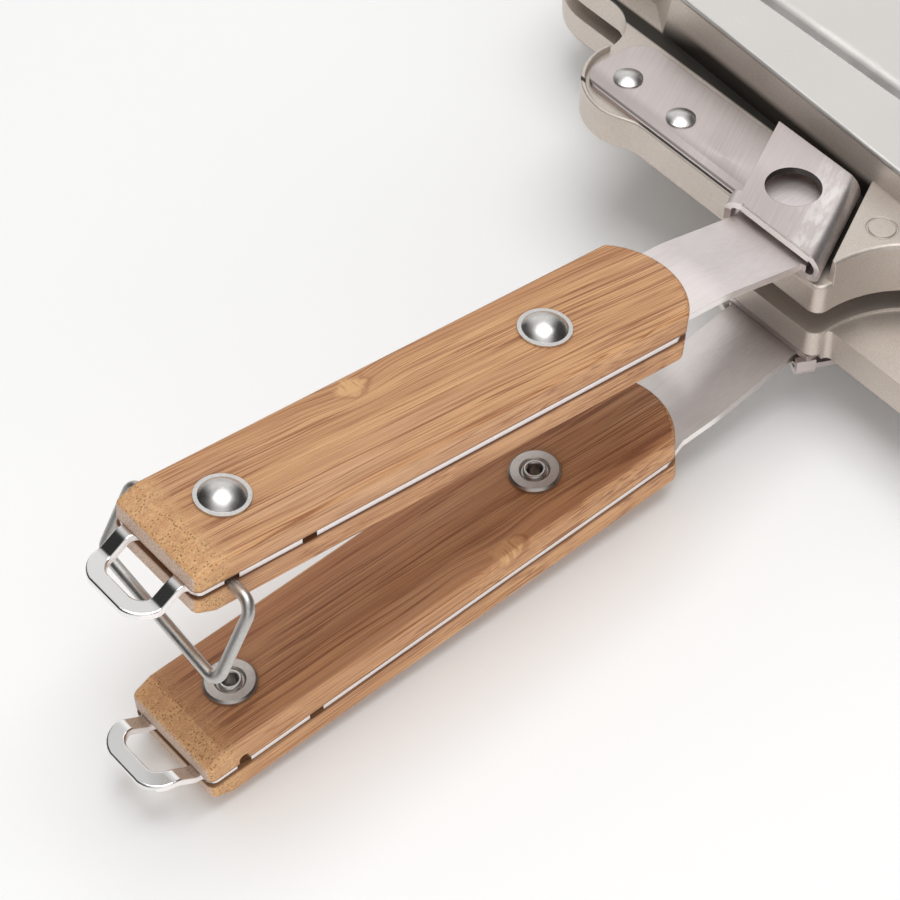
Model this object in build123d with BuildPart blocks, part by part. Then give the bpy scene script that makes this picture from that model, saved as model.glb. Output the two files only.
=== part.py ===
"""Sandwich iron: two like aluminium pans hinged at the back, each on a bamboo handle, with a wire bail.

Millimetres. One half is made once, outer side up, in its own frame: z = 0 is the parting plane,
y = 0 the front of the nose, +y runs to the hinge, -y along the handle, x = 0 the middle of the handle.
The handle's pieces are made flat, on the middle of their steel strip, and tilted into place.
The upper half is that half opened about the hinge, the lower half is the same half turned over.
"""
import copy
import math
import os

from build123d import *

os.makedirs("parts", exist_ok=True)

# Bamboo handle scales
scale_length = 134.0
scale_width = 27.0
scale_thick = 6.15
scale_edge = 1.3
scale_end_bulge = 18.0
scale_corner = 2.2
near_corner = 1.8
end_bevel = 5.2
end_bevel_drop = 2.2
scale_gap = 0.02

# Steel strip that carries the scales
strip_thick = 1.8
strip_left = 11.0
strip_right = 9.6
strip_free = 32.1
strip_rise = 4.3
shoulder_hidden = 1.5
shoulder_run = 6.5
handle_splay = 3.45
bend_radius = 30.0
bend_start = 1.0
bend_run = 22.0
tang_inset = 0.4
notch_width = 3.6
notch_depth = 3.2
notch_near = 8.95
notch_far = 27.9

# Eye at the end of the strip
eye_reach = 11.8
eye_width = 20.6
eye_bar = 3.8
eye_joggle = 3.3
eye_corner = 6.5
eye_start = 0.6
eye_window_start = 2.4
eye_window_corner = 3.4
eye_edge = 0.5
joggle_start = 1.0
joggle_run = 4.4
joggle_radius = 3.0
tang_corner = 2.0
tang_hollow = 0.7

# Tubular rivets and washers
rivet_pitch = 83.0
rivet_inset = 16.3
rivet_head = 11.7
rivet_dome = 9.9
rivet_dome_height = 2.2
rivet_flange = 0.6
rivet_shank = 4.8
rivet_bore = 3.4
rivet_drill = 5.0
drill_point = 1.0
rivet_roll = 5.2
roll_stand = 0.3
roll_height = 0.9
washer_thick = 0.8
washer_cup = 0.6
washer_edge = 0.5
washer_ring = 1.9
washer_dip = 0.5
rivet_fit = 0.05

# Wire bail
wire = 2.6
bail_width = 42.3
bail_leg = 18.9
bail_corner = 3.4
bail_bend = 2.4
bail_stub = 2.9
bail_stub_room = 0.4
bail_drop = 1.6
bail_rack = 1.5
bail_rise = 3.0
bail_kink = 1.0
bail_swing = 25.8
wire_fit = 0.05

# Cast pan
body_width = 232.0
body_depth = 104.0
body_corner = 18.0
neck_start = 4.0
neck_radius = 28.0
nose_width = 32.2
nose_corner = 3.0
flange_thick = 7.75
rim_edge = 1.0
parting_gap = 0.3
pan_height = 20.0
pan_edge = 1.0
plateau_inset = 7.0
plateau_gap = 2.0
plateau_taper = 8.0
plateau_right = 14.0
plateau_slant = 4.4
plateau_corner = 4.0
crown_inset = 9.0
crown_height = 2.0
crown_taper = 50.0
crown_root = 2.0
crown_edge = 4.0
pocket_side = 12.0
pocket_rib = 16.0
pocket_end = 10.0
pocket_floor = 3.0
pocket_taper = 10.0
pocket_corner = 10.0

# Shelf at the left of the nose and land at its right
shelf_front = 4.8
shelf_straight = 46.5
shelf_spread = 13.0
shelf_recess = 0.6
shelf_hollow = 1.6
shelf_wall_edge = 0.35
shelf_wall = 1.1
lobe_run = 12.0
lobe_reach = 3.2
lobe_radius = 16.0
land_drop = 1.5
land_taper = 5.0
land_edge = 1.0
mark_place = (13.7, 20.5)
mark_radius = 3.6
mark_line = 0.5
mark_depth = 0.15

# Folded steel keeper that holds the root of the strip
sheet = 1.6
channel_height = 3.7
skew = 27.5
keeper_front = 0.4
keeper_depth = 26.0
keeper_flat = 20.1
keeper_right = 11.0
keeper_lip = 0.5
keeper_step = 0.4
keeper_hole = 12.8
base_margin = 4.0
base_corner = 6.0
base_slope = 3.0
base_slope_drop = 0.5
base_gap = 0.4
root_side = 0.3
root_end = 2.4
root_play = 0.05
lug_length = 3.6
lug_reach = 0.9
lug_bend = 2.4
keeper_wall_gap = 1.0

# Rivets through the keeper's base
stud_head = 7.0
stud_head_height = 1.4
stud_shank = 4.0
stud_rim = 0.3
stud_near = 44.0
stud_far = 62.0
stud_row = 14.0

# Hinge
hinge_offset = 7.0
knuckle_radius = 5.0
knuckle_length = 11.6
knuckle_pitch = 12.0
hinge_bore = 4.1
hinge_pin = 4.0
pin_head = 7.0
pin_head_height = 1.6
pin_head_edge = 0.6
pin_overhang = 0.4
hinge_spread = 74.0

# Pose of the rest state
open_angle = 2.46

# Heights in the half's own frame
base_top = flange_thick + sheet
root_z = base_top + strip_thick / 2 + root_play
keeper_top = base_top + channel_height + sheet
roll_z = (flange_thick + keeper_top) / 2
roll_radius = (keeper_top - flange_thick) / 2
strip_z = root_z + strip_rise
land_height = keeper_top - land_drop
shelf_z = parting_gap / 2 + shelf_recess
wall_top = base_top - root_play
pocket_height = pan_height - pocket_floor

# Places on the pan
half_nose = nose_width / 2
body_front = neck_start + neck_radius
body_rear = body_front + body_depth
body_middle = body_front + body_depth / 2
hinge_y = body_rear + hinge_offset
keeper_rear = keeper_front + keeper_depth
plateau_front = keeper_rear + plateau_gap
plateau_back = body_front + plateau_inset + plateau_corner
lobe_x = -shelf_straight - lobe_run
lobe_y = shelf_front - lobe_reach + lobe_radius
lobe_left = lobe_x - lobe_radius
shelf_end = lobe_left - shelf_spread
shelf_back = shelf_front + shelf_wall
base_left = lobe_left + base_margin
stud_places = (-stud_near, -stud_far)
pocket_width = (body_width - pocket_rib) / 2 - pocket_side
pocket_depth = body_depth - 2 * pocket_end
pocket_middle = (pocket_rib + pocket_width) / 2
knuckle_places = (hinge_spread / 2 - knuckle_pitch / 2, -hinge_spread / 2 - knuckle_pitch / 2)

# The skewed channel in which the strip's root slides
tan_skew = math.tan(math.radians(skew))
cos_skew = math.cos(math.radians(skew))
sin_skew = math.sin(math.radians(skew))
channel_plane = Plane(origin=(keeper_right, keeper_front, 0), x_dir=(cos_skew, sin_skew, 0),
                      z_dir=(sin_skew, -cos_skew, 0))
rear_y = keeper_rear - root_end - keeper_front
root_right = keeper_right - root_side / cos_skew
root_left = keeper_right - (keeper_flat - 2 * root_side) / cos_skew
land_left = keeper_right + (roll_radius + keeper_wall_gap) / cos_skew + keeper_front * tan_skew

# Places along the handle, from the end of the strip's bend
bend_end = -bend_start - bend_run
scale_far = strip_free + bend_end
scale_near = scale_far + scale_length
half_scale = scale_width / 2
half_tang = half_scale - tang_inset
rivet_places = [scale_near - rivet_inset, scale_near - rivet_inset - rivet_pitch]
notch_places = [scale_near - notch_near, scale_near - notch_far]
bail_place = notch_places[0]
rivet_hole = rivet_shank + 2 * rivet_fit
scale_foot = strip_thick / 2 + scale_gap
head_z = scale_foot + scale_thick
seat_z = -head_z - washer_thick
splay = math.radians(handle_splay)
handle_plane = Plane(origin=(0, bend_end, strip_z), x_dir=(1, 0, 0),
                     z_dir=(0, math.sin(splay), math.cos(splay)))


def cap_point(radius, height, base):
    """Point half way out on a round cap, whose rim of this radius stands at the height base."""
    ball = (radius ** 2 + height ** 2) / (2 * height)
    return radius / 2, base + height - ball + math.sqrt(ball ** 2 - (radius / 2) ** 2)


def lobe_point(radius):
    """Middle point of the shelf lobe's front left quarter, at this radius."""
    return lobe_x - radius * math.sqrt(0.5), lobe_y - radius * math.sqrt(0.5)


def strip_point(place, height):
    """Point of the strip's side view, at a place along the handle and a height above its middle."""
    point = handle_plane.from_local_coords((0, -place, height))
    return point.Y, point.Z


# Bamboo scale for one face of the strip: square near end with a bevel, bulged far end
with BuildPart() as plain_scale:
    with BuildSketch(Plane.XY.offset(-scale_foot)) as outline:
        sag = scale_end_bulge - math.sqrt(scale_end_bulge ** 2 - half_scale ** 2)
        with BuildLine():
            Polyline((half_scale, -scale_far - sag), (half_scale, -scale_near), (-half_scale, -scale_near),
                     (-half_scale, -scale_far - sag))
            ThreePointArc((-half_scale, -scale_far - sag), (0, -scale_far), (half_scale, -scale_far - sag))
        make_face()
        near_corners = outline.vertices().group_by(Axis.Y)[0]
        fillet(outline.vertices() - near_corners, scale_corner)
        fillet(outline.vertices().group_by(Axis.Y)[0], near_corner)
    extrude(amount=-scale_thick)
    with BuildSketch(Plane.YZ):
        with BuildLine():
            bevel_y = end_bevel - scale_near
            past_y = -end_bevel - scale_near
            Polyline((bevel_y, -head_z), (past_y, -head_z), (past_y, 2 * end_bevel_drop - head_z),
                     (bevel_y, -head_z))
        make_face()
    extrude(amount=scale_width, both=True, mode=Mode.SUBTRACT)
    outer_face = plain_scale.faces().sort_by(Axis.Z)[0]
    bevel_face = plain_scale.faces().filter_by(lambda f: f.normal_at().Z < -0.5).sort_by(Axis.Y)[0]
    fillet(ShapeList(set(outer_face.edges()) | set(bevel_face.edges())), scale_edge)
    with Locations([(0, -place, 0) for place in rivet_places]):
        Cylinder(rivet_hole / 2, 4 * scale_thick, mode=Mode.SUBTRACT)

# The one on the inner face has the holes for the bail
with BuildPart() as inner_scale:
    add(plain_scale.part)
    with Locations((half_scale, -bail_place, -bail_drop), (-half_scale, -bail_place, -bail_drop)):
        Cylinder(wire / 2 + wire_fit, 2 * (bail_stub + bail_stub_room), rotation=(0, 90, 0),
                 mode=Mode.SUBTRACT)
inner_scale.part.label = "inner_scale"

# The one on the outer face
with BuildPart() as outer_scale:
    mirror(plain_scale.part, about=Plane.XY)
outer_scale.part.label = "outer_scale"

# Strip: its side view is bent up from the keeper, its plan is cut to root, tang and eye
with BuildPart() as strip:
    with BuildSketch(Plane.YZ) as side_view:
        with BuildLine() as spine:
            FilletPolyline((keeper_rear - root_end, root_z), (-bend_start, root_z), (bend_end, strip_z),
                           strip_point(scale_near + joggle_start, 0),
                           strip_point(scale_near + joggle_start + joggle_run, -eye_joggle),
                           strip_point(scale_near + eye_reach, -eye_joggle),
                           radius=[bend_radius, bend_radius, joggle_radius, joggle_radius])
        trace(line_width=strip_thick)
    extrude(amount=scale_width, both=True)
    with BuildSketch(Plane.XY.offset(-pan_height)) as plan:
        far_y = bend_end - scale_far - shoulder_hidden
        tang_y = far_y - shoulder_run
        near_y = bend_end - scale_near
        half_eye = eye_width / 2
        with BuildLine():
            Polyline((strip_right, 0), (root_right, keeper_front),
                     (root_right - rear_y * tan_skew, keeper_front + rear_y),
                     (root_left - rear_y * tan_skew, keeper_front + rear_y), (root_left, keeper_front),
                     (-strip_left, 0), (-strip_left, far_y), (-half_tang, tang_y),
                     (-half_tang, near_y + eye_start), (-half_eye, near_y + eye_start),
                     (-half_eye, near_y - eye_reach), (half_eye, near_y - eye_reach),
                     (half_eye, near_y + eye_start), (half_tang, near_y + eye_start), (half_tang, tang_y),
                     (strip_right, far_y), (strip_right, 0))
        make_face()
        fillet(plan.vertices().group_by(Axis.Y)[0], eye_corner)
        step_y = near_y + eye_start
        step_corners = plan.vertices().filter_by(lambda v: abs(v.Y - step_y) < scale_gap)
        fillet(step_corners.filter_by(lambda v: abs(v.X) > half_eye + tang_hollow), tang_corner)
        step_corners = plan.vertices().filter_by(lambda v: abs(v.Y - step_y) < scale_gap)
        fillet(step_corners.filter_by(lambda v: abs(v.X) < half_eye + scale_gap), tang_hollow)
    extrude(amount=4 * pan_height, mode=Mode.INTERSECT)
    with BuildSketch(Plane.XY.offset(-pan_height)):
        window = eye_window_start + eye_reach - eye_bar
        with Locations((0, near_y + eye_window_start - window / 2)):
            RectangleRounded(eye_width - 2 * eye_bar, window, eye_window_corner)
        for place in notch_places:
            with Locations((half_tang, bend_end - place * math.cos(splay)),
                           (-half_tang, bend_end - place * math.cos(splay))):
                Rectangle(2 * notch_depth, notch_width)
    extrude(amount=4 * pan_height, mode=Mode.SUBTRACT)
    with Locations(handle_plane):
        with Locations([(0, -place, 0) for place in rivet_places]):
            Cylinder(rivet_hole / 2, 4 * strip_thick, mode=Mode.SUBTRACT)
    flat_y = near_y - joggle_start - joggle_run
    eye_edges = strip.edges().filter_by_position(Axis.Y, near_y - 2 * eye_reach, flat_y)
    fillet(eye_edges.filter_by(lambda e: abs(e.tangent_at(0.5).Z) < 0.5), eye_edge)
strip.part.label = "handle_strip"

# Tubular rivets: dome head outside, tube rolled over a washer inside
with BuildPart() as rivets:
    for place in rivet_places:
        with BuildSketch(Plane(origin=(0, -place, 0), x_dir=(1, 0, 0), z_dir=(0, -1, 0))):
            with BuildLine():
                tube = rivet_shank / 2
                bore = rivet_bore / 2
                roll = rivet_roll / 2
                dome = rivet_dome / 2
                top = head_z + rivet_flange
                stand_z = seat_z - roll_stand
                drill_z = stand_z + rivet_drill
                Polyline((0, top + rivet_dome_height), (0, drill_z + drill_point), (bore, drill_z),
                         (bore, stand_z))
                ThreePointArc((bore, stand_z), ((bore + roll) / 2, seat_z - roll_height), (roll, stand_z))
                Polyline((roll, stand_z), (roll, seat_z), (tube, seat_z), (tube, head_z),
                         (rivet_head / 2, head_z), (rivet_head / 2, top), (dome, top))
                ThreePointArc((dome, top), cap_point(dome, rivet_dome_height, top),
                              (0, top + rivet_dome_height))
            make_face()
        revolve(axis=Axis((0, -place, 0), (0, 0, 1)))
rivets.part.label = "handle_rivets"

# Dished washers under the rolled ends
with BuildPart() as washers:
    for place in rivet_places:
        with BuildSketch(Plane(origin=(0, -place, 0), x_dir=(1, 0, 0), z_dir=(0, -1, 0))):
            with BuildLine():
                rim_r = rivet_head / 2
                ring_r = rim_r - washer_edge - washer_ring
                cup_z = seat_z - washer_cup
                Polyline((rivet_hole / 2, -head_z), (rim_r, -head_z), (rim_r, cup_z + washer_edge),
                         (rim_r - washer_edge, cup_z), (ring_r, cup_z), (ring_r - washer_dip, seat_z),
                         (rivet_hole / 2, seat_z), (rivet_hole / 2, -head_z))
            make_face()
        revolve(axis=Axis((0, -place, 0), (0, 0, 1)))
washers.part.label = "rivet_washers"

# Bail: one wire bent to a U, its ends turned in under the strip, its left side standing a little higher
with BuildPart() as bail:
    lean = math.radians(bail_swing)
    stub_x = half_scale - bail_stub
    leg_x = bail_width / 2 - wire / 2
    kink_x = half_scale + bail_kink
    with BuildLine(Plane(origin=(0, -bail_place, -bail_drop), x_dir=(1, 0, 0),
                         z_dir=(0, -math.cos(lean), math.sin(lean)))) as bail_path:
        FilletPolyline((-stub_x, 0), (-kink_x, 0), (-leg_x, bail_rack), (-leg_x, bail_rise - bail_leg),
                       (leg_x, -bail_leg), (leg_x, 0), (stub_x, 0),
                       radius=[bail_bend, bail_bend, bail_bend, bail_bend, bail_corner])
    with BuildSketch(Plane(origin=bail_path.line @ 0, z_dir=bail_path.line % 0)):
        Circle(wire / 2)
    sweep()
bail.part.label = "bail"

# Shelf at the left of the nose, with a low wall along its front
with BuildPart() as shelf:
    with BuildSketch(Plane.XY.offset(shelf_z)):
        with BuildLine():
            Polyline((-half_nose, shelf_front - shelf_hollow), (1 - half_nose, shelf_front - shelf_hollow),
                     (1 - half_nose, body_middle), (shelf_end, body_middle), (shelf_end, body_front))
            RadiusArc((shelf_end, body_front), (lobe_left, body_front - shelf_spread), shelf_spread)
            Line((lobe_left, body_front - shelf_spread), (lobe_left, lobe_y))
            ThreePointArc((lobe_left, lobe_y), lobe_point(lobe_radius), (lobe_x, lobe_y - lobe_radius))
            Spline((lobe_x, lobe_y - lobe_radius), (-shelf_straight, shelf_front), tangents=((1, 0), (1, 0)))
            Line((-shelf_straight, shelf_front), (-half_nose - shelf_hollow, shelf_front))
            RadiusArc((-half_nose - shelf_hollow, shelf_front), (-half_nose, shelf_front - shelf_hollow),
                      shelf_hollow)
        make_face()
    extrude(amount=wall_top - shelf_z)
    with BuildSketch(Plane.XY.offset(flange_thick)):
        with BuildLine():
            wall_end = lobe_y + shelf_wall
            inner_radius = lobe_radius - shelf_wall
            inner_left = lobe_left + shelf_wall
            Polyline((-shelf_straight, shelf_back), (2 - half_nose, shelf_back),
                     (2 - half_nose, body_middle + 1), (shelf_end - 1, body_middle + 1),
                     (shelf_end - 1, wall_end), (inner_left, wall_end), (inner_left, lobe_y))
            ThreePointArc((inner_left, lobe_y), lobe_point(inner_radius),
                          (lobe_x, lobe_y - inner_radius))
            Spline((lobe_x, lobe_y - inner_radius), (-shelf_straight, shelf_back), tangents=((1, 0), (1, 0)))
        make_face()
    extrude(amount=2 * sheet, mode=Mode.SUBTRACT)
    fillet(shelf.faces().sort_by(Axis.Z)[-1].edges(), shelf_wall_edge)

# Raised land at the right of the keeper, with a round casting mark
with BuildPart() as land:
    with BuildSketch(Plane.XY.offset(flange_thick - rim_edge)):
        with BuildLine():
            land_rear = plateau_front + plateau_gap
            flare = neck_radius - math.sqrt(neck_radius ** 2 - (land_rear - neck_start) ** 2)
            RadiusArc((half_nose, neck_start), (half_nose + flare, land_rear), neck_radius)
            Polyline((half_nose + flare, land_rear), (land_left - land_rear * tan_skew, land_rear),
                     (land_left - neck_start * tan_skew, neck_start), (half_nose, neck_start))
        make_face()
    extrude(amount=land_height - flange_thick + rim_edge, taper=land_taper)
    fillet(land.faces().sort_by(Axis.Z)[-1].edges().sort_by(Axis.X)[-1], land_edge)
    with Locations((*mark_place, land_height)):
        Cylinder(mark_radius, 2 * mark_depth, mode=Mode.SUBTRACT)
        Cylinder(mark_radius - mark_line, 2 * mark_depth)

# Low crown on top of the raised pan
with BuildPart() as crown:
    with BuildSketch(Plane.XY.offset(pan_height - crown_root)):
        with Locations((0, body_middle)):
            RectangleRounded(body_width - 2 * (plateau_inset + crown_inset),
                             body_depth - 2 * (plateau_inset + crown_inset), body_corner - plateau_inset)
    extrude(amount=crown_root)
    with BuildSketch(Plane.XY.offset(pan_height)):
        with Locations((0, body_middle)):
            RectangleRounded(body_width - 2 * (plateau_inset + crown_inset),
                             body_depth - 2 * (plateau_inset + crown_inset), body_corner - plateau_inset)
    extrude(amount=crown_height, taper=crown_taper)
    fillet(crown.faces().sort_by(Axis.Z)[-1].edges(), crown_edge)

# Cast pan: rim with its neck and shelf, raised pan with a crown, land, bread pockets and knuckles
with BuildPart() as casting:
    with BuildSketch(Plane.XY.offset(parting_gap / 2)) as rim:
        with Locations((0, body_middle)):
            RectangleRounded(body_width, body_depth, body_corner)
        with BuildLine():
            wide = half_nose + neck_radius
            Polyline((wide, body_front), (wide, body_middle), (-wide, body_middle), (-wide, body_front))
            RadiusArc((-wide, body_front), (-half_nose, neck_start), neck_radius)
            Polyline((-half_nose, neck_start), (-half_nose, 0), (half_nose, 0), (half_nose, neck_start))
            RadiusArc((half_nose, neck_start), (wide, body_front), neck_radius)
        make_face()
        fillet(rim.vertices().group_by(Axis.Y)[0], nose_corner)
    extrude(amount=flange_thick - parting_gap / 2)
    fillet(casting.faces().sort_by(Axis.Z)[-1].edges(), rim_edge)
    add(shelf.part)
    with BuildSketch(Plane.XY.offset(flange_thick)) as plateau:
        with Locations((0, body_middle)):
            RectangleRounded(body_width - 2 * plateau_inset, body_depth - 2 * plateau_inset,
                             body_corner - plateau_inset)
        with BuildLine():
            bulge = plateau_back - plateau_front
            Polyline((plateau_right + bulge, plateau_back), (base_left - bulge, plateau_back),
                     (base_left, plateau_front + plateau_slant), (plateau_right, plateau_front))
            RadiusArc((plateau_right, plateau_front), (plateau_right + bulge, plateau_back), neck_radius)
        make_face()
    extrude(amount=pan_height - flange_thick, taper=plateau_taper)
    fillet(casting.faces().sort_by(Axis.Z)[-1].edges(), pan_edge)
    add(crown.part)
    add(land.part)
    with BuildSketch() as pockets:
        with Locations((pocket_middle, body_middle), (-pocket_middle, body_middle)):
            RectangleRounded(pocket_width, pocket_depth, pocket_corner)
    extrude(amount=pocket_height, taper=pocket_taper, mode=Mode.SUBTRACT)
    for place in knuckle_places:
        with BuildSketch(Plane.YZ.offset(place)):
            with BuildLine():
                seat_y = body_rear - knuckle_radius / 2
                Polyline((hinge_y, -knuckle_radius), (hinge_y, knuckle_radius), (seat_y, knuckle_radius),
                         (seat_y, parting_gap / 2), (hinge_y - knuckle_radius, parting_gap / 2),
                         (hinge_y, -knuckle_radius))
            make_face()
            with Locations((hinge_y, 0)):
                Circle(knuckle_radius)
                Circle(hinge_bore / 2, mode=Mode.SUBTRACT)
        extrude(amount=knuckle_length / 2, both=True)
    with Locations(*[(x, stud_row, flange_thick) for x in stud_places]):
        Cylinder(stud_shank / 2 + rivet_fit, 4 * flange_thick, mode=Mode.SUBTRACT)
    with Locations(*[(x, stud_row, parting_gap / 2 + stud_head_height / 2) for x in stud_places]):
        Cylinder(stud_head / 2 + rivet_fit, stud_head_height, mode=Mode.SUBTRACT)
casting.part.label = "pan_casting"

# Keeper: one sheet, its base on the shelf, rolled over at the right and back above the root
with BuildPart() as keeper:
    with BuildSketch(channel_plane):
        with BuildLine() as fold:
            inner_roll = roll_radius - sheet / 2
            Line((-keeper_flat, keeper_top - sheet / 2), (0, keeper_top - sheet / 2))
            ThreePointArc((0, keeper_top - sheet / 2), (inner_roll, roll_z), (0, flange_thick + sheet / 2))
            Line((0, flange_thick + sheet / 2), (-keeper_flat, flange_thick + sheet / 2))
        trace(line_width=sheet)
    extrude(amount=3 * keeper_depth, both=True)
    with BuildSketch(Plane.XY.offset(-pan_height)):
        with Locations((0, keeper_front + keeper_depth / 2)):
            Rectangle(4 * keeper_flat, keeper_depth)
    extrude(amount=2 * pan_height, mode=Mode.INTERSECT)
    with BuildSketch(Plane.XY.offset(keeper_top - sheet - keeper_lip)):
        with BuildLine():
            lip_left = keeper_right - keeper_flat / cos_skew
            Polyline((keeper_right, keeper_front), (keeper_right - sheet * tan_skew, keeper_front + sheet),
                     (lip_left - sheet * tan_skew, keeper_front + sheet), (lip_left, keeper_front),
                     (keeper_right, keeper_front))
        make_face()
    extrude(amount=keeper_lip + sheet / 2)
    with Locations((keeper_right - keeper_flat / cos_skew / 2, keeper_front, keeper_top)):
        Box(keeper_flat / cos_skew + keeper_step, 2 * keeper_step, 2 * keeper_step, mode=Mode.SUBTRACT)
    with BuildSketch(channel_plane.offset(lug_reach - keeper_flat * tan_skew)):
        with BuildLine():
            turn = lug_bend - sheet / 2
            lug_x = -keeper_flat - turn
            Line((sheet - keeper_flat, keeper_top - sheet / 2), (-keeper_flat, keeper_top - sheet / 2))
            RadiusArc((-keeper_flat, keeper_top - sheet / 2), (lug_x, keeper_top - lug_bend), -turn)
            Line((lug_x, keeper_top - lug_bend), (lug_x, base_top))
        trace(line_width=sheet)
    extrude(amount=-lug_reach - lug_length)
    with BuildSketch(Plane.XY.offset(flange_thick)) as base:
        with BuildLine():
            base_y = shelf_back + base_gap
            base_right = 1 - half_nose + base_gap
            Polyline((keeper_right, keeper_front), (keeper_right - keeper_depth * tan_skew, keeper_rear),
                     (base_left, keeper_rear), (base_left, base_y), (base_right, base_y),
                     (base_right, keeper_front), (keeper_right, keeper_front))
        make_face()
        fillet(base.vertices().group_by(Axis.X)[0], base_corner)
    extrude(amount=sheet)
    with BuildSketch(Plane.YZ.offset(base_right)):
        with BuildLine():
            Polyline((base_y + base_slope, base_top), (base_y - base_gap, base_top),
                     (base_y - base_gap, base_top - base_slope_drop * (1 + base_gap / base_slope)),
                     (base_y + base_slope, base_top))
        make_face()
    extrude(amount=base_left, mode=Mode.SUBTRACT)
    hole_x = keeper_right - keeper_flat / 2 / cos_skew - keeper_depth / 2 * tan_skew
    with Locations((hole_x, keeper_front + keeper_depth / 2, keeper_top)):
        Cylinder(keeper_hole / 2, 2 * sheet + 1, mode=Mode.SUBTRACT)
    with Locations(*[(x, stud_row, base_top) for x in stud_places]):
        Cylinder(stud_shank / 2 + rivet_fit, 4 * sheet, mode=Mode.SUBTRACT)
keeper.part.label = "handle_keeper"

# Rivets that hold the keeper's base on the shelf
with BuildPart() as studs:
    for x in stud_places:
        with BuildSketch(Plane(origin=(x, stud_row, 0), x_dir=(1, 0, 0), z_dir=(0, -1, 0))):
            with BuildLine():
                low = parting_gap / 2
                shank = stud_shank / 2
                head = stud_head / 2
                Polyline((0, base_top + stud_head_height), (0, low), (head, low), (head, low + stud_rim),
                         (shank, low + stud_head_height - rivet_fit), (shank, base_top), (head, base_top),
                         (head, base_top + stud_rim))
                ThreePointArc((head, base_top + stud_rim),
                              cap_point(head, stud_head_height - stud_rim, base_top + stud_rim),
                              (0, base_top + stud_head_height))
            make_face()
        revolve(axis=Axis((x, stud_row, 0), (0, 0, 1)))
studs.part.label = "keeper_rivets"

# Hinge pin: one rod through all four knuckles, headed at both ends
with BuildPart() as hinge_rod:
    with BuildSketch():
        with BuildLine():
            reach = hinge_spread / 2 + knuckle_pitch + pin_overhang
            end = reach + pin_head_height
            crown_y = hinge_y + pin_head / 2
            Polyline((-end, hinge_y), (end, hinge_y), (end, crown_y - pin_head_edge),
                     (end - pin_head_edge, crown_y), (reach, crown_y), (reach, hinge_y + hinge_pin / 2),
                     (-reach, hinge_y + hinge_pin / 2), (-reach, crown_y), (-end + pin_head_edge, crown_y),
                     (-end, crown_y - pin_head_edge), (-end, hinge_y))
        make_face()
    revolve(axis=Axis((0, hinge_y, 0), (1, 0, 0)))
hinge_rod.part.label = "hinge_pin"

# Places of the two halves: the lower turned over, the upper opened, then both tipped to rest
# on the pan's rear edge and the lower handle's near rivet
tilted = handle_plane.location
turned = Location((0, 0, 0), (0, 180, 0))
opened = Location((0, hinge_y, 0), (-open_angle, 0, 0)) * Location((0, -hinge_y, 0))
half = {"pan_casting": casting.part, "handle_keeper": keeper.part, "keeper_rivets": studs.part,
        "handle_strip": strip.part, "outer_scale": tilted * outer_scale.part,
        "inner_scale": tilted * inner_scale.part, "handle_rivets": tilted * rivets.part,
        "rivet_washers": tilted * washers.part}
pan_foot = casting.part.faces().sort_by(Axis.Z)[-1].bounding_box()
rivet_foot = half["handle_rivets"].bounding_box()
rivet_y = rivet_foot.min.Y + rivet_head / 2
rest_tilt = math.degrees(math.atan((rivet_foot.max.Z - pan_foot.max.Z) / (pan_foot.max.Y - rivet_y)))
tipped = Location((0, 0, 0), (-rest_tilt, 0, 0))
placed = {}
for name, piece in half.items():
    placed["upper_" + name] = tipped * opened * piece
    placed["lower_" + name] = tipped * turned * piece
placed["bail"] = tipped * opened * tilted * bail.part
placed["hinge_pin"] = tipped * hinge_rod.part

# Origin under the middle of the whole iron, at its lowest point
box = Compound(children=[copy.copy(piece) for piece in placed.values()]).bounding_box()
stand = Location((-(box.min.X + box.max.X) / 2, -(box.min.Y + box.max.Y) / 2, -box.min.Z))
for name, piece in placed.items():
    piece = stand * piece
    piece.label = name
    export_step(piece, f"parts/{name}.step")
print("box", box, "tilt", rest_tilt)
print("hinge", (stand * tipped * Location((0, hinge_y, 0))).position)
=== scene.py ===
import bpy
import math
from mathutils import Matrix, Vector

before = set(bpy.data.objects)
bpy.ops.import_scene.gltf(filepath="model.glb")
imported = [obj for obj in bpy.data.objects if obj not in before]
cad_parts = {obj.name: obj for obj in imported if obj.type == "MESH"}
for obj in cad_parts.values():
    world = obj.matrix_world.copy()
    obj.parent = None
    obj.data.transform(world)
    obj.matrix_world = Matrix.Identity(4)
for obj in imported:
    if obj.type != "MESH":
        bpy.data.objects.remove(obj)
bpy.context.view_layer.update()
scene = bpy.context.scene

# The iron at rest, in degrees and metres
rest_tilt = 2.1791
opening = 2.46
handle_splay = 3.45
hinge_place = Vector((0, 0.158190, 0.020967))
hinge_reach = 0.143
near_ends = {"upper": (0, -0.14776, 0.06908), "lower": (0, -0.15131, 0.00952)}
pitches = {"upper": -(handle_splay + rest_tilt + opening), "lower": handle_splay - rest_tilt}

# Places on a half: across, back from its nose, and out from the parting plane.
# Two numbers say where a mark starts and where it is full, or the other way round, and four say both.
pocket_middle = (0.056, 0.084)
pocket_reach = (0.0481, 0.0421)
pocket_corner = 0.0873
pocket_mouth = 0.00017
pocket_floor = 0.0183
outer_face = (0.0190, 0.0197)
shelf_level = (0.0068, 0.0073)
keeper_skew = math.radians(27.5)
keeper_fold = (0.011, 0.0004)
keeper_hole = (-0.007097, 0.0134)
keeper_hole_wall = (0.00641, 0.00646)
base_sheet_top = (0.0100, 0.0104)
curl_level = (0.0120, 0.0128)
# A dark line and a grey band of painted shade along the heel of the base sheet
shaded_heel_line = (0.0064, 0.0067, 0.0071, 0.0075)
shaded_heel_band = (0.0068, 0.0074, 0.0085, 0.0125)
# Painted shade round the keeper: behind it, beside its curl and at its heel
shade_behind_keeper = (0.0285, 0.0292, 0.0325, 0.0335)
shade_beside_curl = (0.003, 0.008, 0.031, 0.032)
shade_at_heel = (0.0050, 0.0053, 0.0061, 0.0062)
curl_gap = (0.009, 0.0095, 0.0163, 0.0167)

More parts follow.
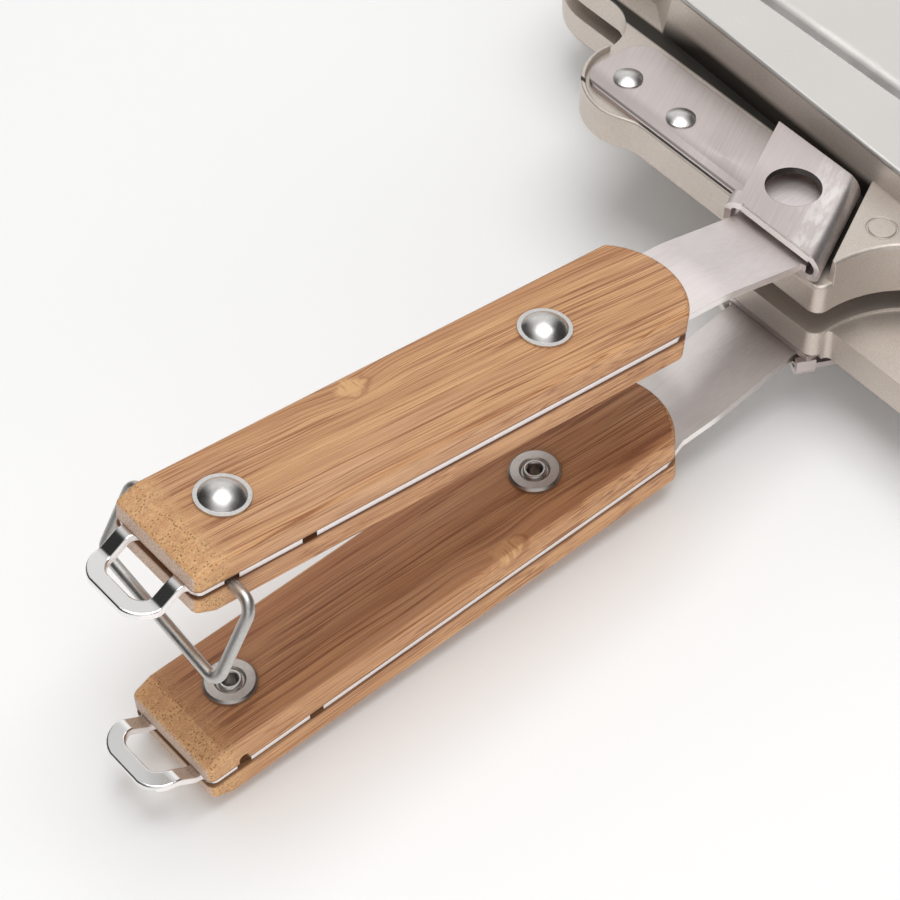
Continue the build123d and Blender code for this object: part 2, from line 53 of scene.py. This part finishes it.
# Places on a handle: across, along from its near end, and out from the middle of the strip
knots = {("upper", "outer"): (-0.0098, 0.0555), ("lower", "inner"): (0.0118, 0.0815)}
past_the_scale = (0.004, 0.2)
knot_height = 0.0068
knot_size = (0.0028, 0.0046, 0.0035)
near_bevel = (0.0045, 0.011)
strip_seam = (0.0009, 0.0017)
eye_root = (-0.0004, 0.0006)
scale_far_end = (0.140, 0.146)

# Grain of the bamboo: waves in a metre across, along and out
coarse_grain = (620, 7, 620)
middling_grain = (1350, 15, 1350)
fine_grain = (2300, 30, 2300)
pore_grain = (5200, 1300, 5200)
end_grain = (1900, 1500, 1300)


def toned(colour, tone):
    return tuple(tone * part for part in colour)


class Nodes:
    """A node tree, with short ways to lay out its nodes."""

    def __init__(self, tree):
        self.nodes = tree.nodes
        self.links = tree.links

    def feed(self, socket, value):
        """Set a socket to a plain value, or link it to another node."""
        if isinstance(value, bpy.types.NodeSocket):
            self.links.new(value, socket)
        elif hasattr(socket.default_value, "__len__") and isinstance(value, tuple) and len(value) == 3:
            socket.default_value = (*value, 1) if len(socket.default_value) == 4 else value
        else:
            socket.default_value = value

    def add(self, kind, feeds=(), **settings):
        """A node of this kind with its settings, its sockets fed in their order or by name."""
        node = self.nodes.new("ShaderNode" + kind)
        for name, value in settings.items():
            setattr(node, name, value)
        for name, value in feeds.items() if isinstance(feeds, dict) else enumerate(feeds):
            if value is not None:
                self.feed(node.inputs[name], value)
        return node

    def split(self, vector):
        return self.add("SeparateXYZ", (vector,)).outputs

    def join(self, x, y, z):
        return self.add("CombineXYZ", (x, y, z)).outputs[0]

    def math(self, operation, first, second=None, third=None):
        return self.add("Math", (first, second, third), operation=operation).outputs[0]

    def times(self, first, *others):
        """The product of all values."""
        for other in others:
            first = self.math("MULTIPLY", first, other)
        return first

    def away(self, value, middle):
        """How far a value is from its middle, to either side."""
        return self.math("ABSOLUTE", self.math("SUBTRACT", value, middle))

    def mix(self, amount, first, second):
        """Mix two numbers."""
        return self.add("Mix", (amount, None, first, second)).outputs[0]


class Finish(Nodes):
    """One material and the pattern that it carries."""

    def __init__(self, name, colour, metallic, roughness):
        self.material = bpy.data.materials.new(name)
        self.material.use_nodes = True
        super().__init__(self.material.node_tree)
        self.shader = self.nodes["Principled BSDF"]
        self.set("Base Color", colour)
        self.set("Metallic", metallic)
        self.set("Roughness", roughness)

    def set(self, name, value):
        """Feed one of the shader's own sockets."""
        self.feed(self.shader.inputs[name], value)

    def place(self, origin=(0, 0, 0), turn=0.0):
        """Coordinates from an origin on the piece, turned about x by these degrees."""
        source = self.add("TexCoord").outputs["Object"]
        return self.add("Mapping", (source, origin, (math.radians(turn), 0, 0)), vector_type="TEXTURE").outputs[0]

    def facing(self):
        """The way the surface faces, as x, y and z."""
        return self.split(self.add("TexCoord").outputs["Normal"])

    def scaled(self, vector, scale, shift=(0, 0, 0)):
        """A vector times a scale for each axis, plus a shift."""
        return self.add("VectorMath", (vector, scale, shift), operation="MULTIPLY_ADD").outputs[0]

    def noise(self, vector, detail=2.0, roughness=0.5):
        return self.add("TexNoise", {"Vector": vector, "Scale": 1.0, "Detail": detail,
                                     "Roughness": roughness}).outputs[0]

    def cells(self, vector):
        """Distance to the middle of the nearest cell, and the cell's own random value."""
        node = self.add("TexVoronoi", {"Vector": vector, "Scale": 1.0})
        return node.outputs["Distance"], self.split(node.outputs["Color"])[0]

    def spread(self, value, low, high, to_low=0.0, to_high=1.0):
        """Take a value from one range smoothly to another, and stop at its ends."""
        return self.add("MapRange", (value, low, high, to_low, to_high), interpolation_type="SMOOTHSTEP").outputs[0]

    def fade(self, value, full, gone):
        """1 up to the first mark, falling smoothly to 0 at the second."""
        return self.spread(value, full, gone, 1.0, 0.0)

    def within(self, value, start, full, fading, gone):
        """Rise from 0 to 1 between the first two marks and fall back between the last two."""
        return self.times(self.spread(value, start, full), self.fade(value, fading, gone))

    def blend(self, amount, first, second, how="MIX"):
        """Mix two colours."""
        node = self.add("Mix", data_type="RGBA", blend_type=how)
        for index, value in ((0, amount), (6, first), (7, second)):
            self.feed(node.inputs[index], value)
        return node.outputs[2]

    def relief(self, height, depth, strength=1.0, normal=None):
        """Raise the surface where height is high, by this depth in metres."""
        return self.add("Bump", {"Height": height, "Distance": depth, "Strength": strength,
                                 "Normal": normal}).outputs[0]

    def eased(self, radius):
        """Normal of the surface with its edges eased by a radius in metres."""
        return self.add("Bevel", {"Radius": radius}, samples=4).outputs[0]


def knot_place(finish, x, y, z, knot, seed):
    """Place across and along the knot, and distance from it with a ragged edge, all in its own size."""
    middle = (*knot, knot_height)
    across, along, out = [finish.math("DIVIDE", finish.math("SUBTRACT", value, middle[axis]), knot_size[axis])
                          for axis, value in enumerate((x, y, z))]
    far = finish.add("VectorMath", (finish.join(across, along, out),), operation="LENGTH").outputs["Value"]
    ragged = finish.noise(finish.join(finish.times(x, 700), finish.times(y, 350), seed), 2)
    return across, along, finish.math("ADD", far, finish.math("MULTIPLY_ADD", ragged, 0.9, -0.45))


def bamboo(name, near_end, pitch, seed, knot, shade_the_flats):
    """Oiled bamboo: fibres along the handle, end grain at the near bevel, one knot, oil in the seam, and painted
    shade on its flat faces when asked.
    """
    finish = Finish(name, (0.6, 0.34, 0.17), 0.0, 0.5)
    x, y, z = finish.split(finish.place(near_end, pitch))
    knot_across, knot_along, knot_far = knot_place(finish, x, y, z, knot, seed)

    # The fibres wander, lean a little and part round the knot
    wander = finish.noise(finish.join(seed, finish.times(y, 22), finish.times(x, 60)), 1)
    across = finish.math("SUBTRACT", x, finish.times(y, y, 0.25))
    across = finish.math("MULTIPLY_ADD", wander, 0.0022, across)
    parted = finish.times(finish.fade(finish.math("ABSOLUTE", knot_across), 0.5, 3.5),
                          finish.fade(finish.math("ABSOLUTE", knot_along), 0.3, 3.0))
    fibre = finish.join(finish.math("MULTIPLY_ADD", parted, -0.0011, across), y, z)

    # Broad bands and patches
    brown, honey, tan = (0.53, 0.27, 0.125), (0.69, 0.39, 0.185), (0.62, 0.37, 0.22)
    band = finish.noise(finish.scaled(fibre, (260, 7, 260), (seed, seed * 2, 0)), 2)
    colour = finish.blend(finish.spread(band, 0.25, 0.75), brown, honey)
    patch = finish.noise(finish.scaled(fibre, (90, 14, 90), (seed * 3, 0, seed)), 2)
    colour = finish.blend(finish.spread(patch, 0.5, 0.75, 0.0, 0.6), colour, tan)

    # Bundles of fibre: long thin lines where a drawn-out noise crosses its middle, gathered here and there
    coarse, middling, fine = [
        finish.fade(finish.away(finish.noise(finish.scaled(fibre, scale, (seed * shift, seed, shift)), 1), 0.5),
                    line, edge)
        for scale, line, edge, shift in ((coarse_grain, 0.006, 0.035, 1.0), (middling_grain, 0.012, 0.065, 5.0),
                                         (fine_grain, 0.015, 0.1, 9.0))]
    gathered_middling, gathered_coarse = [
        finish.spread(finish.noise(finish.scaled(fibre, (210, 24, 210), (shift, seed, 4)), 2), 0.33, 0.56)
        for shift in (0.0, 7.0)]
    on_bevel = finish.fade(y, *near_bevel)
    off_bevel = finish.spread(on_bevel, 0.0, 1.0, 1.0, 0.1)
    middling = finish.times(middling, gathered_middling, off_bevel)
    coarse = finish.times(coarse, gathered_coarse, off_bevel)
    beside = finish.away(finish.noise(finish.scaled(fibre, coarse_grain, (seed, seed, 1)), 1), 0.5)
    beside = finish.times(finish.fade(beside, 0.0, 0.09), gathered_coarse)
    for amount, share, tone in ((beside, 0.4, (0.56, 0.27, 0.10)), (fine, 0.45, (0.34, 0.155, 0.07)),
                                (middling, 0.85, (0.30, 0.115, 0.045)), (coarse, 0.85, (0.25, 0.09, 0.035))):
        colour = finish.blend(finish.times(amount, share), colour, tone)

    # Pores
    pore = finish.noise(finish.scaled(fibre, pore_grain), 1)
    colour = finish.blend(finish.spread(pore, 0.35, 0.7, 0.0, 0.22), colour, (0.38, 0.25, 0.17))

    # Knot: pale, with ragged cross lines, and dark along one side
    ripple = finish.noise(finish.join(finish.times(x, 260), finish.times(y, 1500), seed), 2, 0.6)
    heart = finish.blend(finish.spread(ripple, 0.52, 0.66, 0.0, 0.6), (0.64, 0.37, 0.175), (0.36, 0.17, 0.075))
    colour = finish.blend(finish.fade(knot_far, 0.55, 1.0), colour, heart)
    rim = finish.times(finish.within(knot_far, 0.8, 1.0, 1.0, 1.3),
                       finish.spread(finish.math("ADD", knot_across, knot_along), -0.6, 0.8))
    colour = finish.blend(finish.times(rim, 0.5), colour, (0.30, 0.12, 0.05))

    # End grain on the near bevel and a little beyond, and the plain sawn end
    wood = finish.join(x, y, z)
    dot_far, dot_chance = finish.cells(finish.scaled(wood, end_grain, (seed, 0, 0)))
    ragged = finish.noise(finish.scaled(wood, (450, 450, 450), (seed, 0, 0)), 2)
    grainy = finish.times(on_bevel, finish.spread(ragged, 0.3, 0.5))
    halo = finish.times(grainy, finish.spread(dot_far, 0.4, 0.7, 0.7, 0.0))
    dots = finish.times(grainy, finish.fade(dot_far, 0.28, 0.5), finish.spread(dot_chance, 0.05, 0.5))
    colour = finish.blend(halo, colour, (0.68, 0.43, 0.20))
    colour = finish.blend(finish.times(dots, 0.85), colour, (0.25, 0.11, 0.04))
    fuzz = finish.noise(finish.scaled(wood, (2600, 2600, 2600)), 2)
    cut_end = finish.blend(finish.spread(fuzz, 0.35, 0.65), (0.38, 0.26, 0.195), (0.60, 0.46, 0.37))
    sawn = finish.spread(finish.times(finish.facing()[1], -1.0), 0.72, 0.9)
    colour = finish.blend(finish.times(sawn, 0.9), colour, cut_end)

    # Dark oil in the seam beside the strip, and patchy painted shade on the flat faces when asked
    oil = finish.spread(finish.math("ABSOLUTE", z), *strip_seam, 0.65, 0.0)
    colour = finish.blend(oil, colour, (0.12, 0.045, 0.018))
    if shade_the_flats:
        flat = finish.spread(finish.math("ABSOLUTE", finish.facing()[2]), 0.86, 0.98)
        flat_shade = finish.times(flat, finish.spread(patch, 0.3, 0.7, 1.0, 0.55))
        colour = finish.blend(flat_shade, colour, (0.75, 0.62, 0.57), "MULTIPLY")
    finish.set("Base Color", colour)
    finish.set("Roughness", finish.spread(band, 0.3, 0.7, 0.52, 0.42))
    finish.set("Specular IOR Level", 0.35)
    hollow = finish.math("ADD", finish.times(coarse, -0.7), finish.times(dots, -1.0))
    finish.set("Normal", finish.relief(finish.math("MULTIPLY_ADD", pore, 0.5, hollow), 0.00006, 0.6))
    return finish.material


def in_pocket(finish, x, y, depth):
    """1 on the walls and floors of the pockets, 0 elsewhere."""
    side = finish.away(finish.math("ABSOLUTE", x), pocket_middle[0])
    end = finish.away(y, pocket_middle[1])
    below = [finish.math("LESS_THAN", value, limit) for value, limit in (
        (side, pocket_reach[0]), (end, pocket_reach[1]), (finish.math("ADD", side, end), pocket_corner),
        (depth, pocket_floor))]
    return finish.times(*below, finish.math("GREATER_THAN", depth, pocket_mouth))


def keeper_corner_shade(finish, x, y, depth, outward):
    """Painted shade, near black, in the corners round the keeper: behind it, beside its curl and at its heel."""
    skewed = finish.math("MULTIPLY_ADD", x, outward, finish.times(y, math.tan(keeper_skew)))
    behind = finish.times(finish.within(y, *shade_behind_keeper), finish.fade(depth, 0.0112, 0.0136))
    beside = finish.times(finish.within(y, *shade_beside_curl), finish.fade(depth, 0.0086, 0.0105),
                          finish.within(skewed, *curl_gap))
    heel = finish.times(finish.within(y, *shade_at_heel), finish.spread(skewed, -0.014, -0.0145),
                        finish.spread(depth, 0.0080, 0.0088))
    shaded_corners = finish.math("MAXIMUM", finish.math("MAXIMUM", behind, heel), beside)
    return finish.times(shaded_corners, finish.spread(depth, *shelf_level))


def cast_aluminium(name, origin, turn, outward):
    """Cast aluminium under a warm satin coat, smoother on its outer face, with dark release coat in the pockets."""
    finish = Finish(name, (0.55, 0.5, 0.43), 0.75, 0.4)
    where = finish.place()
    x, y, z = finish.split(finish.place(origin, turn))
    depth = finish.times(z, outward)
    face = finish.spread(depth, *outer_face)
    inside = in_pocket(finish, x, y, depth)

    grit = finish.noise(finish.scaled(where, (4200, 4200, 4200)), 2, 0.6)
    mottle = finish.noise(finish.scaled(where, (90, 90, 90)), 4, 0.6)
    colour = finish.blend(finish.spread(grit, 0.3, 0.7), (0.56, 0.49, 0.43), (0.70, 0.63, 0.57))
    colour = finish.blend(finish.spread(mottle, 0.3, 0.7, 0.0, 0.25), colour, (0.65, 0.59, 0.535))
    colour = finish.blend(finish.times(face, 0.85), colour, (0.76, 0.745, 0.72))
    # Painted shade, near black, in the corners round the keeper
    painted_corner_shade = keeper_corner_shade(finish, x, y, depth, outward)
    colour = finish.blend(finish.times(painted_corner_shade, 0.95), colour, (0.02, 0.018, 0.015))
    speck = finish.spread(finish.noise(finish.scaled(where, (2600, 2600, 2600)), 1), 0.66, 0.72)
    release_coat = finish.blend(speck, (0.035, 0.034, 0.033), (0.12, 0.115, 0.11))
    finish.set("Base Color", finish.blend(inside, colour, release_coat))
    finish.set("Metallic", finish.spread(inside, 0.0, 1.0, 0.75, 0.0))

    rough = finish.mix(face, finish.spread(mottle, 0.3, 0.7, 0.36, 0.46), finish.spread(mottle, 0.3, 0.7, 0.27, 0.36))
    finish.set("Roughness", finish.mix(inside, rough, 0.34))
    sag = finish.noise(finish.scaled(where, (34, 34, 34)), 1)
    waved = finish.relief(finish.times(sag, face), 0.0009, 1.0, finish.eased(0.00035))
    finish.set("Normal", finish.relief(grit, 0.00002, 0.35, waved))
    return finish.material


def satin_sheet(finish, where, colour, roughness):
    """Rolled stainless: the lines along y, the shade and the roughness that they give."""
    drawn = finish.noise(finish.scaled(where, (2600, 60, 2600)), 3, 0.6)
    cloud = finish.noise(finish.scaled(where, (70, 45, 70)), 3)
    shade = finish.blend(finish.spread(drawn, 0.3, 0.7), toned(colour, 0.9), colour)
    shade = finish.blend(finish.spread(cloud, 0.35, 0.7, 0.0, 0.5), shade, toned(colour, 1.05))
    return drawn, shade, finish.spread(cloud, 0.3, 0.7, roughness + 0.05, roughness - 0.04)


def sheet_done(finish, drawn, shade, rough):
    finish.set("Base Color", shade)
    finish.set("Roughness", rough)
    finish.set("Anisotropic", 0.3)
    finish.set("Normal", finish.relief(drawn, 0.000004, 0.5, finish.eased(0.00015)))
    return finish.material


def keeper_steel(name, origin, turn, outward):
    """Satin stainless sheet of the keeper: painted shade at its heel and inside its hole, burnished to its fold,
    bright on its cut front.
    """
    colour, roughness = (0.68, 0.605, 0.585), 0.36
    finish = Finish(name, colour, 1.0, roughness)
    on_half = finish.place(origin, turn)
    x, y, z = finish.split(on_half)
    depth = finish.times(z, outward)
    on_fold = finish.add("Mapping", (on_half, (keeper_fold[0] * outward, keeper_fold[1], 0),
                                     (0, 0, keeper_skew * outward)), vector_type="TEXTURE").outputs[0]
    drawn, shade, rough = satin_sheet(finish, on_fold, colour, roughness)

    # Painted shade along the heel of the base sheet: a grey band and a dark line
    base_sheet = finish.fade(depth, *base_sheet_top)
    heel_band_shade = finish.times(finish.within(y, *shaded_heel_band), base_sheet)
    line = finish.times(finish.within(y, *shaded_heel_line), base_sheet)
    shade = finish.blend(finish.times(heel_band_shade, 0.45), shade, (0.28, 0.26, 0.25))
    shade = finish.blend(finish.times(line, 0.8), shade, (0.10, 0.09, 0.08))

    # Burnish towards the fold, rougher where the sheet curls over
    ragged = finish.noise(finish.scaled(on_fold, (520, 150, 520), (3, 1, 0)), 4, 0.65)
    to_fold = finish.spread(finish.times(finish.split(on_fold)[0], outward), -0.0105, -0.001)
    burnish = finish.times(finish.spread(ragged, 0.42, 0.62, 0.2, 1.0), to_fold)
    shade = finish.blend(finish.times(burnish, 0.8), shade, (0.96, 0.92, 0.90))
    rough = finish.math("MULTIPLY_ADD", burnish, -0.05, rough)
    facing = finish.facing()
    curled = finish.fade(finish.math("ABSOLUTE", facing[2]), 0.55, 0.97)
    rough = finish.math("MULTIPLY_ADD", curled, 0.14, rough)

    # Sheared front of the upper sheet, and painted shade inside the hole
    front = finish.times(finish.spread(finish.times(facing[1], -1.0), 0.6, 0.85), finish.spread(depth, *curl_level))
    shade = finish.blend(finish.times(front, 0.8), shade, (0.93, 0.89, 0.87))
    finish.set("Metallic", finish.spread(front, 0.0, 1.0, 1.0, 0.35))
    hole_middle = (keeper_hole[0] * outward, keeper_hole[1], 0)
    hole_far = finish.add("VectorMath", (finish.join(x, y, 0.0), hole_middle), operation="DISTANCE").outputs["Value"]
    hole_wall_shade = finish.fade(hole_far, *keeper_hole_wall)
    shade = finish.blend(finish.times(hole_wall_shade, 0.95), shade, (0.03, 0.027, 0.025))
    return sheet_done(finish, drawn, shade, rough)


def strip_steel(name, colour, near_end, pitch):
    """Satin stainless strip of the handle, with a bright eye and pale sheared edges between the scales."""
    roughness = 0.4
    finish = Finish(name, colour, 1.0, roughness)
    where = finish.place(near_end, pitch)
    drawn, shade, rough = satin_sheet(finish, where, colour, roughness)
    y = finish.split(where)[1]
    eye = finish.fade(y, *eye_root)
    shade = finish.blend(eye, shade, (0.88, 0.87, 0.855))
    rough = finish.mix(eye, rough, 0.17)
    sheared = finish.times(finish.spread(finish.math("ABSOLUTE", finish.facing()[0]), 0.6, 0.9),
                           finish.fade(y, *scale_far_end))
    shade = finish.blend(sheared, shade, (0.86, 0.81, 0.79))
    rough = finish.mix(sheared, rough, 0.45)
    finish.set("Metallic", finish.spread(sheared, 0.0, 1.0, 1.0, 0.15))
    return sheet_done(finish, drawn, shade, rough)


def bright_steel(name, colour, roughness):
    """Steel polished on a wheel: fine scratches in all directions and soft smears."""
    finish = Finish(name, colour, 1.0, roughness)
    where = finish.place()
    scratch = finish.noise(finish.scaled(where, (3200, 900, 2400)), 3, 0.7)
    smear = finish.noise(finish.scaled(where, (240, 240, 240)), 3)
    finish.set("Base Color", finish.blend(finish.spread(scratch, 0.3, 0.7), toned(colour, 0.86), colour))
    finish.set("Roughness", finish.spread(smear, 0.3, 0.7, roughness + 0.06, roughness - 0.05))
    finish.set("Normal", finish.relief(scratch, 0.000005, 0.5, finish.eased(0.0001)))
    return finish.material


def half_place(half):
    """Origin, tilt in degrees and outward sign of a half's own frame, with the parting plane at z = 0."""
    tilt = -rest_tilt - (opening if half == "upper" else 0)
    back = Matrix.Rotation(math.radians(tilt), 3, "X") @ Vector((0, -hinge_reach, 0))
    return tuple(hinge_place + back), tilt, 1.0 if half == "upper" else -1.0


# Finish of every node
wire_finish = bright_steel("wire_steel", (0.62, 0.60, 0.575), 0.42)
rivet_finish = bright_steel("rivet_steel", (0.72, 0.70, 0.68), 0.31)
washer_finish = bright_steel("washer_steel", (0.56, 0.515, 0.48), 0.36)
finishes = {"bail": wire_finish, "hinge_pin": wire_finish}
# One steel for both strips: the upper colour is lightened as painted light, the lower darkened as painted shade under
# the upper handle
for half, strip_colour_painted_lit_and_shaded, half_seed in (("upper", (0.86, 0.79, 0.775), 0.0), ("lower", (0.63, 0.585, 0.565), 11.7)):
    near_end, pitch = near_ends[half], pitches[half]
    origin, tilt, outward = half_place(half)
    finishes[half + "_pan_casting"] = cast_aluminium(half + "_cast_aluminium", origin, tilt, outward)
    finishes[half + "_handle_keeper"] = keeper_steel(half + "_keeper_steel", origin, tilt, outward)
    finishes[half + "_handle_strip"] = strip_steel(half + "_strip_steel_lit_and_shaded", strip_colour_painted_lit_and_shaded, near_end, pitch)
    finishes[half + "_handle_rivets"] = rivet_finish
    finishes[half + "_keeper_rivets"] = rivet_finish
    finishes[half + "_rivet_washers"] = washer_finish
    for scale, seed in (("outer", 1.3), ("inner", 4.9)):
        knot = knots.get((half, scale), past_the_scale)
        # Inner scales get painted shade on their flat faces
        finishes[f"{half}_{scale}_scale"] = bamboo(f"{half}_{scale}_bamboo", near_end, pitch, seed + half_seed, knot,
                                                   scale == "inner")
for name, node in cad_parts.items():
    for slot in node.material_slots:
        slot.material = finishes[name]

# Camera, at the photograph's angle
aim = Vector((-0.002889, -0.072628, 0.040))
camera_distance = 0.65566
azimuth, elevation, roll = math.radians(52.823), math.radians(49.414), math.radians(-3.408)
backward = Vector((math.sin(azimuth) * math.cos(elevation), -math.cos(azimuth) * math.cos(elevation),
                   math.sin(elevation)))
level_right = (-backward).cross(Vector((0, 0, 1))).normalized()
level_up = level_right.cross(-backward)
right = math.cos(roll) * level_right + math.sin(roll) * level_up
up = math.cos(roll) * level_up - math.sin(roll) * level_right
camera_data = bpy.data.cameras.new("camera")
camera_data.lens = 125.36
camera_data.sensor_width = 36
camera = bpy.data.objects.new("camera", camera_data)
scene.collection.objects.link(camera)
camera.matrix_world = (Matrix.Translation(aim + backward * camera_distance)
                       @ Matrix((right, up, backward)).transposed().to_4x4())
scene.camera = camera

# Floor
bpy.ops.object.select_all(action="DESELECT")
bpy.ops.mesh.primitive_plane_add(size=6, location=(0, 0, 0))
floor = bpy.context.object
floor.name = "floor"
floor.data.materials.append(Finish("floor", (0.93, 0.93, 0.925), 0.0, 0.6).material)

# Light: one broad soft lamp overhead, and a long low one on the right that polished metal does not see
lit_place = Vector((0, -0.05, 0.02))
for name, location, size, energy in (("overhead", (-0.02, 0.08, 1.25), (0.95, 0.95), 8.6),
                                     ("low", (1.1, -0.8, 0.45), (2.0, 0.9), 10.5)):
    lamp_data = bpy.data.lights.new(name, "AREA")
    lamp_data.shape = "RECTANGLE"
    lamp_data.size, lamp_data.size_y = size
    lamp_data.energy = energy
    lamp = bpy.data.objects.new(name, lamp_data)
    scene.collection.objects.link(lamp)
    lamp.location = location
    lamp.visible_glossy = name == "overhead"
    lamp.rotation_euler = (lit_place - Vector(location)).to_track_quat("-Z", "Y").to_euler()

# Pale surroundings: what polished metal sees is bright above, dim at the horizon, with a dark board on each side
world = bpy.data.worlds.new("studio")
world.use_nodes = True
studio = Nodes(world.node_tree)
direction = studio.add("TexCoord").outputs["Generated"]
height = studio.split(direction)[2]
behind, aside = [studio.add("VectorMath", (direction, way), operation="DOT_PRODUCT").outputs["Value"]
                 for way in ((-0.797, 0.604, 0), (0.604, 0.797, 0))]
horizon = studio.add("MapRange", (behind, -0.3, 0.5, 0.12, 0.6)).outputs[0]
rising = studio.add("MapRange", (height, 0.0, 0.42)).outputs[0]
overhead = studio.add("MapRange", (height, 0.5, 0.8, 1.0, 0.6)).outputs[0]
boards = studio.add("MapRange", (studio.math("ABSOLUTE", aside), 0.34, 0.6, 1.0, 0.03)).outputs[0]
reflected = studio.times(studio.mix(rising, horizon, overhead), boards)
soft_light, backdrop = 0.49, 0.93
ray = studio.add("LightPath").outputs
strength = studio.mix(ray["Is Camera Ray"], studio.mix(ray["Is Glossy Ray"], soft_light, reflected), backdrop)
background = studio.nodes["Background"].inputs
studio.feed(background["Strength"], strength)
studio.feed(background["Color"], (1, 1, 1))
scene.world = world

scene.view_settings.view_transform = "Standard"
